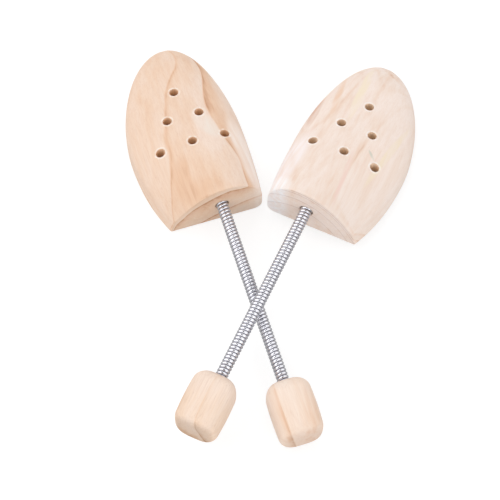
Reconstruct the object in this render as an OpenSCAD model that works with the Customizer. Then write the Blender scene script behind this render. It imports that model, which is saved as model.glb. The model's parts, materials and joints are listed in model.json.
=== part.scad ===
// A pair of wooden shoe stretchers: a left and a right tree that lie crossed on a table.
// Each tree is a carved forefoot block and a heel knob, joined by a steel coil spring.
// A tree is drawn in its own frame, then turned and shifted, and on the right also mirrored and tipped.
// In that frame +Y points to the toe, -X is the outer side of a left foot, and the sole lies on Z = 0.
// The back face of the block stands on Y = 0, and the spring enters it at X = 0.

/* [Forefoot block] */
// Length of the block, from its flat back face to the tip of the toe
block_len = 139.5; // [125:0.5:155]
// Outer edge of the sole at the back face, from the spring
outer_back = 37.3; // [33:0.1:41]
// Outer edge of the sole at its widest, from the spring
outer_wide = 48.6; // [44:0.1:54]
// Inner side at the back face, from the spring
inner_back = 28.7; // [25:0.1:31]
// Inner side at its widest, from the spring
inner_wide = 32; // [29:0.1:36]
// Distance of the widest place from the back face
wide_at = 57; // [48:0.5:66]
// Sideways place of the toe tip, towards the outer side
toe_aside = 2; // [-4:0.5:6]
// Height of the instep ridge at the back face
instep_h = 39.5; // [34:0.5:46]
// Height of the ridge halfway along the block
mid_h = 27.8; // [25:0.1:30]
// Height of the ridge where the toe starts to round over
nose_h = 17; // [14:0.5:20]
// Sideways place of the ridge at the back face, towards the inner side
ridge_aside = 4; // [0:0.5:8]
// Height of the leaning outer wall at the back face
outer_wall_h = 12; // [8:0.5:16]
// How far the outer wall leans in over its height
outer_wall_lean = 3.3; // [0:0.1:6]
// Rounding along the outer edge of the sole
outer_edge_r = 1.6; // [0.8:0.1:2.4]
// Rounding along the inner edge of the sole, at the back face
inner_edge_r = 6; // [2:0.1:7]

/* [Vent holes] */
// Diameter of a vent hole
vent_d = 6.5; // [4:0.1:8]
// Distance between neighbouring holes in a row
vent_gap = 23; // [18:0.5:25]
// Distance between rows
vent_row = 23; // [18:0.5:25]
// Distance of the widest row from the back face
vent_back = 48.5; // [42:0.5:54]
// Sideways place of the middle of the pattern, towards the outer side
vent_aside = 6; // [2:0.5:9]
// Number of rows, with one more hole in each row towards the back
vent_rows = 3; // [1:1:3]

/* [Spring] */
// Length of spring that shows between the block and the knob
spring_len = 135; // [118:0.5:152]
// Outside diameter of the coil
coil_d = 8.6; // [8:0.1:9.6]
// Thickness of the wire
wire_d = 2.3; // [1.8:0.1:2.5]
// Distance from one turn to the next
coil_pitch = 3.5; // [3.3:0.05:4.2]
// Height of the spring over the sole, where it enters the block
spring_h = 19.4; // [16:0.1:22]
// Radial clearance of the coil in its bores
bore_gap = 0.6; // [0.3:0.05:0.8]
// Depth of the bores that the coil's ends sit in
bore_depth = 14; // [12:0.5:16]

/* [Heel knob] */
// Length of the knob along the spring
knob_len = 40.5; // [36:0.5:48]
// Width and height of the knob at its middle
knob_w = 30.6; // [27:0.2:36]
// How much each side of the knob draws in from its middle to its ends
knob_barrel = 1; // [0.5:0.1:2]
// Rounding of the end that faces the block
knob_front_r = 9; // [5:0.5:9]
// Rounding of the far end
knob_back_r = 6.5; // [4:0.5:9]

/* [Fixings inside the wood] */
// Length of the part of a plug that sits in the coil
plug_in_coil = 12; // [9:0.5:13]
// Length of the part of a plug that sits in the wood
plug_in_wood = 8; // [6:0.5:10]
// Diameter of the brads that hold the plugs
brad_d = 0.9; // [0.7:0.05:1]
// Diameter of a brad's head
brad_head_d = 2.2; // [1.8:0.1:2.8]
// Thickness of a brad's head
brad_head_h = 0.6; // [0.4:0.1:1]
// How deep a brad's head is sunk in the wood
brad_sink = 0.3; // [0:0.1:0.8]
// Clearance of the plugs and brads in the wood
fit_gap = 0.05; // [0.02:0.01:0.1]

/* [How the pair lies] */
// Turn of the left tree seen from above, toe outwards
left_turn = 17.7; // [12:0.1:24]
// Turn of the right tree seen from above, toe outwards
right_turn = 25; // [19:0.1:31]
// Length of the left spring from its block to the crossing
left_cross = 80.7; // [74:0.1:86]
// Length of the right spring from its block to the crossing
right_cross = 75.3; // [69:0.1:81]
// Gap between the two springs at the crossing
cross_gap = 0.5; // [0.2:0.05:1]

/* [Hidden] */
$fn = 48;

PINE = [0.93, 0.80, 0.67];
KNOB_PINE = [0.95, 0.84, 0.72];
DOWEL = [0.84, 0.69, 0.52];
STEEL = [0.74, 0.75, 0.78];
BRAD_STEEL = [0.60, 0.60, 0.62];

// How far a cut runs past the face that it opens
cut = 0.5;

// Small helpers
function mix(a, b, u) = a + (b - a) * u;
function smooth(u) = u * u * (3 - 2 * u);
function unit(v) = v / norm(v);
function quad(a, b, c, d) = [[a, b, c], [a, c, d]];
function fan(first, count, flip) = [for (i = [1 : count - 2])
    flip ? [first, first + i + 1, first + i] : [first, first + i, first + i + 1]];
function cubic(p, u) =
    pow(1 - u, 3) * p[0] + 3 * pow(1 - u, 2) * u * p[1] + 3 * (1 - u) * u * u * p[2] + pow(u, 3) * p[3];

// Plan of the block
// Each side runs from the back face over its widest place to the tip, for u from 0 to 1.
side_share = 0.42;
// The curves' handles, as shares of the way to the widest place and on to the tip
leaving_back = 0.32;
leaving_side = 0.74;
reaching_wide = 0.65;
leaving_wide = 0.42;
// How far the rounding of the toe reaches to either side
toe_bend_outer = 25;
toe_bend_inner = 23;
tip = [-toe_aside, block_len];
function side_plan(back, wide, toe_bend, side, u) = u < side_share
    ? cubic([[side * back, 0], [side * mix(back, wide, leaving_side), leaving_back * wide_at],
             [side * wide, reaching_wide * wide_at], [side * wide, wide_at]], u / side_share)
    : cubic([[side * wide, wide_at], [side * wide, mix(wide_at, block_len, leaving_wide)],
             [tip[0] + side * toe_bend, block_len], tip], (u - side_share) / (1 - side_share));
function plan(u, outer) = outer
    ? side_plan(outer_back, outer_wide, toe_bend_outer, -1, u)
    : side_plan(inner_back, inner_wide, toe_bend_inner, 1, u);
// Level direction square to the plan's edge, into the block
function plan_inward(u, outer) =
    let (du = 0.001, d = plan(min(u + du, 1), outer) - plan(max(u - du, 0), outer), side = outer ? -1 : 1)
    unit([-d[1], d[0]]) * side;

// Ridge of the block
// It slopes down to the nose, and from there rounds over to the height nose_end_h at the tip.
nose_from = 27;
nose_to = 2.5;
nose_end_h = 7;
nose_flatness = 2.4;
nose_fullness = 0.6;
nose_y = block_len - nose_from;
ridge_end = block_len - nose_to;
// Height of the slope, on a parabola through the heights at the back face, halfway and at the nose
function slope_h(y) =
    let (v = y / nose_y) mix(instep_h, nose_h, v) - 4 * (mix(instep_h, nose_h, 0.5) - mid_h) * v * (1 - v);
function ridge_h(y) =
    let (v = max(0, (y - nose_y) / (ridge_end - nose_y)))
    nose_end_h + (slope_h(y) - nose_end_h) * pow(1 - pow(min(v, 1), nose_flatness), nose_fullness);
function ridge_point(u) =
    let (y = plan(u, true)[1] * ridge_end / block_len)
    [mix(ridge_aside, -toe_aside, y / ridge_end), y, ridge_h(y)];

// Profile of a side, as [share of the way to the ridge, share of the ridge's height]
// It runs up a wall for q from -1 to 0, and on over the arch to the ridge for q from 0 to 1.
outer_blend = 0.55;
inner_wall_share = 0.37;
toe_wall_share = 0.3;
lean_share = outer_wall_lean / (outer_back + ridge_aside);
outer_wall_share = outer_wall_h / instep_h;
function sloping_side(q) = q < 0
    ? [(1 + q) * lean_share, (1 + q) * outer_wall_share]
    : [1 - (1 - lean_share) * cos(90 * q), mix(outer_wall_share, 1, pow(sin(90 * q), 2))];
function round_side(q, wall) = q < 0
    ? [0, (1 + q) * wall]
    : [1 - cos(90 * q), mix(wall, 1, sin(90 * q))];
// The outer side is a leaning wall and a slope at the back, and turns into a round arch at the toe.
function profile(u, outer, q) = outer
    ? mix(sloping_side(q), round_side(q, toe_wall_share), smooth(min(u / outer_blend, 1)))
    : round_side(q, mix(inner_wall_share, toe_wall_share, u));

// One station of the block, from the sole up to just under the ridge
edge_points = 2;
wall_points = 3;
arch_points = 11;
column = edge_points + wall_points + arch_points;
edge_bend = 1 - sqrt(0.5);
least_wall = 1.3;
function station(u, outer) =
    let (foot = plan(u, outer),
         top = ridge_point(u),
         way = [top[0], top[1]] - foot,
         edge = mix(outer ? outer_edge_r : inner_edge_r, outer_edge_r, u),
         wall_z = max(profile(u, outer, 0)[1] * top[2], edge * least_wall),
         inward = plan_inward(u, outer))
    concat(
        [[each foot + inward * edge, 0], [each foot + inward * edge * edge_bend, edge * edge_bend]],
        [for (k = [0 : wall_points - 1])
            let (z = mix(edge, wall_z, k / wall_points), p = profile(u, outer, z / wall_z - 1))
            [each foot + way * p[0], z]],
        [for (k = [0 : arch_points - 1])
            let (p = profile(u, outer, k / arch_points))
            [each foot + way * p[0], max(p[1] * top[2], wall_z)]]);

// The stations go round the block, from the outer back corner over the tip to the inner back corner.
stations = 30;
last = 2 * stations;
function along(k) = sin(90 * k / stations);
function block_points() = concat(
    [for (k = [0 : stations]) each station(along(k), true)],
    [for (k = [stations - 1 : -1 : 0]) each station(along(k), false)],
    [for (k = [0 : stations]) ridge_point(along(k))]);
// Number of the point j of station k, where the highest j is on the ridge
function at(k, j) = j < column ? k * column + j : (last + 1) * column + (k <= stations ? k : last - k);
block_faces = concat(
    [for (k = [0 : last - 1], j = [0 : column - 1])
        each quad(at(k, j), at(k + 1, j), at(k + 1, j + 1), at(k, j + 1))],
    [for (k = [0 : stations - 2]) each quad(at(k, 0), at(last - k, 0), at(last - k - 1, 0), at(k + 1, 0))],
    [[at(stations - 1, 0), at(stations + 1, 0), at(stations, 0)]],
    [for (j = [0 : column - 2]) each quad(at(0, j), at(0, j + 1), at(last, j + 1), at(last, j))],
    [[at(0, column - 1), at(0, column), at(last, column - 1)]]);

// Coil
// It is one tube that winds from inside the block to inside the knob, with straight, square ends.
turn_rings = 8;
wire_sides = 6;
coil_front = bore_depth - fit_gap;
coil_len = spring_len + 2 * coil_front;
turns = floor((coil_len - wire_d) / coil_pitch);
pitch = (coil_len - wire_d) / turns;
coil_r = (coil_d - wire_d) / 2;
coil_steps = turns * turn_rings;
function coil_centre(k) =
    let (a = 90 + 360 * k / turn_rings)
    [coil_r * cos(a), coil_front - wire_d / 2 - pitch * k / turn_rings, coil_r * sin(a)];
function coil_tangent(k) = unit(coil_centre(min(k + 1, coil_steps)) - coil_centre(max(k - 1, 0)));
function coil_ring(k) =
    let (c = coil_centre(k), t = coil_tangent(k), out = [c[0], 0, c[2]],
         up = unit(out - t * (t * out)), aside = cross(t, up))
    [for (i = [0 : wire_sides - 1])
        c + wire_d / 2 * (cos(360 * i / wire_sides) * up + sin(360 * i / wire_sides) * aside)];
coil_points = [for (k = [0 : coil_steps]) each coil_ring(k)];
function on_wire(k, i) = k * wire_sides + i % wire_sides;
coil_faces = concat(
    [for (k = [0 : coil_steps - 1], i = [0 : wire_sides - 1])
        each quad(on_wire(k, i), on_wire(k + 1, i), on_wire(k + 1, i + 1), on_wire(k, i + 1))],
    fan(on_wire(0, 0), wire_sides, false),
    fan(on_wire(coil_steps, 0), wire_sides, true));
// The coil is the same all along, so its first turn's least distance to the next is its least gap.
coil_gap = min([for (k = [0 : turn_rings], i = [0 : wire_sides - 1],
                     m = [turn_rings - 2 : turn_rings + 2], n = [0 : wire_sides - 1])
    norm(coil_points[on_wire(k, i)] - coil_points[on_wire(k + m, n)])]);
echo(str("least gap of each coil to itself: ", coil_gap, " mm, over ", turns, " turns"));

// Shaft
// The spring droops a little from the block to the knob, which lies on the table.
droop = asin((spring_h - knob_w / 2) / (spring_len + knob_len / 2));
coil_bore_d = coil_d + 2 * bore_gap;
// A plug fills the coil, less the flats between the rings of a turn.
plug_d = (coil_d - 2 * wire_d) * cos(180 / turn_rings) - 2 * fit_gap;
plug_front = bore_depth + plug_in_wood;
plug_back = bore_depth - plug_in_coil;
// A brad passes between the first two turns of the coil, and ends under the top of the plug.
plug_skin = 0.4;
brad_y = coil_front - wire_d / 2 - pitch;
brad_tip = plug_d / 2 - plug_skin;

// Knob
// Each ring is a rounded square, and the rings draw in towards both ends.
knob_sides = 36;
knob_rings = 7;
knob_power = 3.2;
front_r = min(knob_front_r, knob_w / 2 - knob_barrel - coil_bore_d / 2 - cut);
function rounded_off(d, r) = d < r ? r - sqrt(r * r - (r - d) * (r - d)) : 0;
// Half width of the knob at the distance y from its front
function knob_half(y) = knob_w / 2 - knob_barrel * pow(2 * y / knob_len - 1, 2)
    - rounded_off(y, front_r) - rounded_off(knob_len - y, knob_back_r);
knob_ys = concat(
    [for (k = [0 : knob_rings]) front_r * (1 - cos(90 * k / knob_rings))],
    [for (k = [1 : knob_rings - 1]) mix(front_r, knob_len - knob_back_r, k / knob_rings)],
    [for (k = [knob_rings : -1 : 0]) knob_len - knob_back_r * (1 - cos(90 * k / knob_rings))]);
function rounded_square(a) = [
    sign(cos(a)) * pow(abs(cos(a)), 2 / knob_power),
    sign(sin(a)) * pow(abs(sin(a)), 2 / knob_power)];
knob_points = [for (y = knob_ys, i = [0 : knob_sides - 1])
    let (q = knob_half(y) * rounded_square(360 * i / knob_sides)) [q[0], -spring_len - y, q[1]]];
function on_knob(k, i) = k * knob_sides + i % knob_sides;
knob_last = len(knob_ys) - 1;
knob_faces = concat(
    [for (k = [0 : knob_last - 1], i = [0 : knob_sides - 1])
        each quad(on_knob(k, i), on_knob(k + 1, i), on_knob(k + 1, i + 1), on_knob(k, i + 1))],
    fan(on_knob(0, 0), knob_sides, false),
    fan(on_knob(knob_last, 0), knob_sides, true));

// Places, as 4 by 4 matrices
function shifted(v) = [[1, 0, 0, v[0]], [0, 1, 0, v[1]], [0, 0, 1, v[2]], [0, 0, 0, 1]];
function turned_x(a) = [[1, 0, 0, 0], [0, cos(a), -sin(a), 0], [0, sin(a), cos(a), 0], [0, 0, 0, 1]];
function turned_z(a) = [[cos(a), -sin(a), 0, 0], [sin(a), cos(a), 0, 0], [0, 0, 1, 0], [0, 0, 0, 1]];
mirrored = [[-1, 0, 0, 0], [0, 1, 0, 0], [0, 0, 1, 0], [0, 0, 0, 1]];
function moved(m, p) = let (q = m * [p[0], p[1], p[2], 1]) [q[0], q[1], q[2]];

// The shaft's frame starts where the spring enters the block, and holds the spring and the knob.
in_shaft = shifted([0, 0, spring_h]) * turned_x(droop);
// The right tree is tipped about the front of its sole, until its spring lies over the left one.
sole_front = block_len - outer_edge_r;
tip_rise = coil_d + cross_gap + (right_cross - left_cross) * sin(droop);
tip_angle = asin(tip_rise / (sole_front + right_cross));
tipped = shifted([0, sole_front, 0]) * turned_x(-tip_angle) * shifted([0, -sole_front, 0]);
// Both trees lie around the crossing of their springs.
left_crossed = turned_z(left_turn) * shifted([0, left_cross, 0]);
right_crossed = turned_z(-right_turn) * shifted([0, right_cross, 0]) * tipped * mirrored;
// The origin is on the table, under the middle of the pair's bounding box.
outside = concat(
    [for (p = block_points()) each [moved(left_crossed, p), moved(right_crossed, p)]],
    [for (p = knob_points) each [moved(left_crossed * in_shaft, p), moved(right_crossed * in_shaft, p)]]);
xs = [for (p = outside) p[0]];
ys = [for (p = outside) p[1]];
to_middle = shifted([-(min(xs) + max(xs)) / 2, -(min(ys) + max(ys)) / 2, 0]);
left_place = to_middle * left_crossed;
right_place = to_middle * right_crossed;

// Each spring bends as two hinges, a quarter of its length from either end.
for (side = [["left", left_place], ["right", right_place]])
    echo(str(side[0], " hinges at ", moved(side[1] * in_shaft, [0, -spring_len / 4, 0]),
        " and ", moved(side[1] * in_shaft, [0, -spring_len * 3 / 4, 0])));
echo(str("crossing at ", moved(to_middle, [0, 0, 0]), ", tip ", tip_angle, ", droop ", droop));
echo(str("left sole at ", moved(left_place, [0, wide_at, 0])));

// Cylinder along the shaft, from y_from forward to y_to
module along_shaft(y_from, y_to, d) {
    translate([0, y_to, 0])
        rotate([90, 0, 0])
            cylinder(h = y_to - y_from, d = d);
}

// Children drawn for the toe end of the shaft, turned round to its heel end
module at_heel_end() {
    translate([0, -spring_len, 0])
        mirror([0, 1, 0])
            children();
}

// Distance from the shaft down to the wood's underside at the brad
toe_brad_drop = (spring_h + brad_y * sin(droop)) / cos(droop);
heel_brad_drop = knob_half(brad_y);

module brad(drop, gap) {
    foot = brad_sink - drop;
    translate([0, brad_y, foot])
        cylinder(h = brad_tip + gap - foot, d = brad_d + 2 * gap);
    translate([0, brad_y, gap > 0 ? -drop - cut : foot])
        cylinder(h = brad_head_h + gap + (gap > 0 ? brad_sink + cut : 0), d = brad_head_d + 2 * gap);
}

// What is drilled out of the wood for one end of the shaft
module shaft_bores(drop) {
    along_shaft(-cut, bore_depth, coil_bore_d);
    along_shaft(bore_depth - cut, plug_front + fit_gap, plug_d + 2 * fit_gap);
    brad(drop, fit_gap);
}

module plug() {
    difference() {
        along_shaft(plug_back, plug_front, plug_d);
        brad(spring_h, fit_gap);
    }
}

module forefoot_block() {
    color(PINE)
        difference() {
            polyhedron(points = block_points(), faces = block_faces, convexity = 4);
            multmatrix(in_shaft)
                shaft_bores(toe_brad_drop);
            for (row = [0 : vent_rows - 1], k = [0 : row])
                translate([(k - row / 2) * vent_gap - vent_aside, vent_back + (vent_rows - 1 - row) * vent_row, -cut])
                    cylinder(h = instep_h + 2 * cut, d = vent_d);
        }
}

module spring() {
    color(STEEL)
        multmatrix(in_shaft)
            polyhedron(points = coil_points, faces = coil_faces, convexity = 10);
}

module heel_knob() {
    color(KNOB_PINE)
        multmatrix(in_shaft)
            difference() {
                polyhedron(points = knob_points, faces = knob_faces, convexity = 4);
                at_heel_end()
                    shaft_bores(heel_brad_drop);
            }
}

module toe_plug() {
    color(DOWEL)
        multmatrix(in_shaft)
            plug();
}

module heel_plug() {
    color(DOWEL)
        multmatrix(in_shaft)
            at_heel_end()
                plug();
}

module toe_brad() {
    color(BRAD_STEEL)
        multmatrix(in_shaft)
            brad(toe_brad_drop, 0);
}

module heel_brad() {
    color(BRAD_STEEL)
        multmatrix(in_shaft)
            at_heel_end()
                brad(heel_brad_drop, 0);
}

module left() {
    multmatrix(left_place)
        children();
}

module right() {
    multmatrix(right_place)
        children();
}

left() forefoot_block();  // left_forefoot_block
left() spring();  // left_spring
left() heel_knob();  // left_heel_knob
left() toe_plug();  // left_toe_plug
left() heel_plug();  // left_heel_plug
left() toe_brad();  // left_toe_brad
left() heel_brad();  // left_heel_brad
right() forefoot_block();  // right_forefoot_block
right() spring();  // right_spring
right() heel_knob();  // right_heel_knob
right() toe_plug();  // right_toe_plug
right() heel_plug();  // right_heel_plug
right() toe_brad();  // right_toe_brad
right() heel_brad();  // right_heel_brad
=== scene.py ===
# %% [markdown]
# # A pair of wooden shoe stretchers
# Two trees lie crossed on a table. Each has a carved pine block for the front of the shoe, a bright coil
# spring and a rounded knob for the heel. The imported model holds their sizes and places. This lesson gives
# every surface its final mesh and its finish, and sets up the light and the camera.

# %% Load the frame
import json
import math

import bpy
from mathutils import Matrix, Vector


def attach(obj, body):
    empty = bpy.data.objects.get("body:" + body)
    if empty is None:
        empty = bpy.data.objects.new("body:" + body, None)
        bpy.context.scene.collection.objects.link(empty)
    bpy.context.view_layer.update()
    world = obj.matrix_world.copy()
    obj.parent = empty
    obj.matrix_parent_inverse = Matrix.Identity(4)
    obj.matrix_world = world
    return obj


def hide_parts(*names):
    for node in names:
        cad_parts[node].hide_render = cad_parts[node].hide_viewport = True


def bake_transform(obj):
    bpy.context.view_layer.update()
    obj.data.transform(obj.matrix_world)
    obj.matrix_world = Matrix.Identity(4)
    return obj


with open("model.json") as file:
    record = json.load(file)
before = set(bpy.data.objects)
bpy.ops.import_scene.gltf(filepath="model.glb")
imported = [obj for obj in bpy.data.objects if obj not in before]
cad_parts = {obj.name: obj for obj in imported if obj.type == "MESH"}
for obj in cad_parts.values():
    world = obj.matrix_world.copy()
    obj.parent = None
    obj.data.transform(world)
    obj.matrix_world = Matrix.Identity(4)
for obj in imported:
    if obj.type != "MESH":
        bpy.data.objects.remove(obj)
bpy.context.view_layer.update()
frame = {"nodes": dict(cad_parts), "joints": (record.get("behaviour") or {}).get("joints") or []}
scene = bpy.context.scene
MM = 0.001
print("nodes:", sorted(frame["nodes"]))

# %% [markdown]
# ## Where each tree lies
# The hinges of the springs are the best landmarks, because they lie on the axis of each spring, a quarter
# of its length from either end. A tree's own frame starts in the middle of its back face, on the sole.
# There +Y points to the toe, +Z up through the block, and -X to the outer side of the foot, so the right
# tree is a mirror image.

# %% Find both trees in the frame
hinges = {joint["name"]: joint for joint in frame["joints"]}


def spring_ends(side):
    """Where a spring leaves its block, and where it enters its knob."""
    front = Vector(hinges[side + "_spring_swing"]["pos_m"])
    rear = Vector(hinges[side + "_spring_lift"]["pos_m"])
    quarter = (rear - front) / 2
    return front - quarter, rear + quarter


def rise(side):
    """How steeply a spring climbs from its block to its knob."""
    start, end = spring_ends(side)
    return math.asin((end - start).normalized().z)


# The left block lies flat, so its spring's height and slope are also those the right tree is built with.
spring_height = spring_ends("left")[0].z
tips = {"left": 0.0, "right": rise("right") - rise("left")}


def tree_place(side):
    """The matrix from a tree's own frame to the shared one."""
    mirror = 1 if side == "left" else -1
    inner = Vector(hinges[side + "_spring_lift"]["axis"]).normalized() * -mirror
    forward = Vector((-inner.y, inner.x, 0)) * mirror
    forward = forward * math.cos(tips[side]) - Vector((0, 0, math.sin(tips[side])))
    up = inner.cross(forward) * mirror
    place = Matrix((inner, forward, up)).transposed().to_4x4()
    place.translation = spring_ends(side)[0] - up * spring_height
    return place


places = {side: tree_place(side) for side in ("left", "right")}
for side, place in places.items():
    tip = round(math.degrees(tips[side]), 2)
    print(side, "tree at", [round(v / MM, 1) for v in place.translation], "tipped", tip)

# %% [markdown]
# ## The camera, the table and the light
# The photograph looks down at the pair, tilted 26 degrees towards the toes, through a long lens. The light
# in it is soft. One large lamp overhead would do that, but would leave the carved sides flat. Four large
# soft lamps, one for each side of the table and of different strengths, shade the wood on all sides, and a
# grey sky fills in the rest.

# %% Point the camera
CAMERA_TILT = math.radians(26.2)
CAMERA_DISTANCE = 1.146
CAMERA_LENS = 121
CROSSING_TO_CENTRE = Vector((-0.0056, 0.0520, 0))


def crossing():
    """Where the springs cross, seen from above."""
    (a, b), (c, d) = spring_ends("left"), spring_ends("right")
    u, v, w = (b - a).xy, (d - c).xy, (c - a).xy
    share = (w.x * v.y - w.y * v.x) / (u.x * v.y - u.y * v.x)
    return Vector((*(a.xy + u * share), 0))


aim = crossing() + CROSSING_TO_CENTRE
back_off = Vector((0, -math.sin(CAMERA_TILT), math.cos(CAMERA_TILT))) * CAMERA_DISTANCE
bpy.ops.object.camera_add(location=aim + back_off, rotation=(CAMERA_TILT, 0, 0))
camera = bpy.context.object
camera.data.lens = CAMERA_LENS
scene.camera = camera
scene.view_settings.view_transform = "Standard"
print("camera looks at", [round(v / MM, 1) for v in aim])

# %% Light the table
LAMPS = {
    "left_softbox": {"place": (-0.75, 0.10, 0.75), "size": (0.9, 1.5), "power": 4.6},
    "right_softbox": {"place": (0.85, 0.05, 0.70), "size": (0.8, 1.4), "power": 2.2},
    "top_softbox": {"place": (-0.10, 0.95, 0.90), "size": (1.3, 0.8), "power": 4.0},
    "front_softbox": {"place": (0.10, -1.00, 0.50), "size": (1.2, 0.7), "power": 4.3},
}

for name, lamp in LAMPS.items():
    bpy.ops.object.light_add(type="AREA", location=lamp["place"])
    light = bpy.context.object
    light.name = name
    light.data.shape = "RECTANGLE"
    light.data.size, light.data.size_y = lamp["size"]
    light.data.energy = lamp["power"]
    light.rotation_euler = (-Vector(lamp["place"])).to_track_quat("-Z", "Y").to_euler()
print("lamps:", list(LAMPS))

# %% [markdown]
# ## A small language for materials
# A material is a sum of simple fields over the surface. It could be wired up by hand in the shader editor,
# but long formulas get lost there. Written as Python arithmetic on sockets, each line of a finish reads
# like the formula it is, and adds its Math nodes by itself.


# %% Write shader maths as Python
class Field:
    """A value that changes over the surface."""

    def __init__(self, finish, socket):
        self.finish, self.socket = finish, socket

    def _maths(self, operation, *values):
        return self.finish.node("ShaderNodeMath", {"operation": operation}, dict(enumerate(values)))

    def __add__(self, other):
        return self._maths("ADD", self, other)

    def __sub__(self, other):
        return self._maths("SUBTRACT", self, other)

    def __rsub__(self, other):
        return self._maths("SUBTRACT", other, self)

    def __mul__(self, other):
        return self._maths("MULTIPLY", self, other)

    def __truediv__(self, other):
        return self._maths("DIVIDE", self, other)

    def __pow__(self, other):
        return self._maths("POWER", self, other)

    def __abs__(self):
        return self._maths("ABSOLUTE", self)

    __radd__, __rmul__ = __add__, __mul__

    def between(self, low, high):
        """0 below low, 1 above high, and smooth in between."""
        settings = {"interpolation_type": "SMOOTHSTEP"}
        return self.finish.node("ShaderNodeMapRange", settings, {0: self, 1: low, 2: high})


print("a field is worked with like a number, with + - * / ** and abs")


# %% Build a finish node by node
class Finish:
    """The nodes of one material, or of the world."""

    def __init__(self, name, kind="materials", shader="Principled BSDF"):
        self.owner = getattr(bpy.data, kind).new(name)
        self.owner.use_nodes = True
        self.tree = self.owner.node_tree
        self.shader = self.tree.nodes[shader]

    def node(self, kind, settings=None, values=None, output=0):
        """Add a node, set it up, feed its sockets, and hand on one of its outputs."""
        made = self.tree.nodes.new(kind)
        for key, value in (settings or {}).items():
            if key == "stops":
                self._ramp(made.color_ramp, value)
            else:
                setattr(made, key, value)
        for key, value in (values or {}).items():
            self.feed(made.inputs[key], value)
        return Field(self, made.outputs[output])

    def feed(self, socket, value):
        if isinstance(value, Field):
            self.tree.links.new(value.socket, socket)
        else:
            socket.default_value = value

    def _ramp(self, ramp, stops):
        ramp.elements.remove(ramp.elements[1])
        ramp.elements[0].position, ramp.elements[0].color = stops[0]
        for position, tone in stops[1:]:
            ramp.elements.new(position).color = tone

    def set(self, **values):
        """Feed the shader's own sockets, named with _ for a space."""
        for key, value in values.items():
            self.feed(self.shader.inputs[key.replace("_", " ")], value)
        print("finish:", self.owner.name, "with", len(self.tree.nodes), "nodes")

    def mix(self, factor, a, b, way="MIX"):
        """Mix two colours."""
        settings = {"data_type": "RGBA", "blend_type": way}
        return self.node("ShaderNodeMix", settings, {0: factor, 6: a, 7: b}, 2)

    def noise(self, vector, scale=1.0, detail=2.0, roughness=0.5):
        values = {"Vector": vector, "Scale": scale, "Detail": detail, "Roughness": roughness}
        return self.node("ShaderNodeTexNoise", None, values)

    def bump(self, height, distance):
        return self.node("ShaderNodeBump", None, {"Height": height, "Distance": distance, "Strength": 1.0})


# %% Write colours as they look
def to_linear(value):
    """The shader's value for one channel of a screen, 0 to 255."""
    share = value / 255
    return share / 12.92 if value < 10.31 else ((share + 0.055) / 1.055) ** 2.4


def colour(red, green, blue):
    """A colour as it looks on a screen, as the shader's values."""
    return to_linear(red), to_linear(green), to_linear(blue), 1


def grey(value):
    """A grey by its linear value."""
    return value, value, value, 1


print("a middle grey on a screen is", round(to_linear(128), 3), "of white's light")

# %% [markdown]
# ## The sky and the floor
# The pair was photographed on a white ground in soft light. A plain grey world lights the wood well, but
# polished steel shows what stands around it. So the steel sees a sky of its own, bright to the sides, with
# a dark gap overhead that draws the thin line along each spring. To the camera the floor mostly glows and
# holds little paint, so it is white and its shadows stay pale. To the wood it is plain pale paint, which
# throws light up from below. Past the floor's edge the camera sees white too.

# %% Make the sky
SKY_GREY, BRIGHT_SIDE, DARK_GAP = 0.50, 1.0, 0.03
GAP_EDGE = (0.08, 0.42)

sky = Finish("studio", "worlds", "Background")
direction = sky.node("ShaderNodeTexCoord", output="Generated")
sideways = abs(sky.node("ShaderNodeSeparateXYZ", None, {0: direction}))
studio = sky.mix(sideways.between(*GAP_EDGE), grey(DARK_GAP), grey(BRIGHT_SIDE))
in_steel = sky.node("ShaderNodeLightPath", output="Is Glossy Ray")
in_view = sky.node("ShaderNodeLightPath", output="Is Camera Ray")
around = sky.mix(in_steel, grey(SKY_GREY), studio)
sky.set(Color=sky.mix(in_view, around, grey(1)))
scene.world = sky.owner

# %% Make the floor
FLOOR_SIZE, FLOOR_DROP, FLOOR_ROUGHNESS = 6, 0.0002, 0.9
PAINT_LIT, PAINT_SEEN, GLOW_IN_VIEW, GLOW_IN_STEEL = 0.82, 0.36, 0.72, 0.2

ground = Finish("pale_floor")
in_view = ground.node("ShaderNodeLightPath", output="Is Camera Ray")
in_steel = ground.node("ShaderNodeLightPath", output="Is Glossy Ray")
seen = ground.node("ShaderNodeMath", {"operation": "MAXIMUM"}, {0: in_view, 1: in_steel})
glow = ground.mix(in_view, ground.mix(in_steel, grey(0), grey(GLOW_IN_STEEL)), grey(GLOW_IN_VIEW))
paint = ground.mix(seen, grey(PAINT_LIT), grey(PAINT_SEEN))
ground.set(Base_Color=paint, Roughness=FLOOR_ROUGHNESS, Emission_Color=glow, Emission_Strength=1.0,
           Specular_IOR_Level=0.0)
bpy.ops.mesh.primitive_plane_add(size=FLOOR_SIZE, location=(0, 0, -FLOOR_DROP))
floor = bpy.context.object
floor.name = "floor"
floor.data.materials.append(ground.owner)

# %% [markdown]
# ## Pine
# A board is a stack of yearly rings. In each ring the wood starts pale and turns orange, up to the thin
# brown line of late wood. A picture of wood would do for a flat board, but it would slide round these
# carved shapes. So the finish first works out which ring a point lies in, from a growth field that fills
# the whole piece, and then colours it by how late in the year it grew. Lines on the top and on the cut ends
# then meet at the edges, as in real wood.


# %% Find out where a point lies in its tree
CUT_EDGE = (0.55, 1.0)


def tree_axes(finish, place):
    """How far each point lies along a tree's own axes, in millimetres."""
    point = finish.node("ShaderNodeTexCoord", output="Object")
    axes = []
    for axis in range(3):
        direction = place.col[axis].xyz
        shift = -direction.dot(place.translation) / MM
        values = {0: point, 1: direction / MM}
        axes.append(finish.node("ShaderNodeVectorMath", {"operation": "DOT_PRODUCT"}, values, 1) + shift)
    return axes


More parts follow.
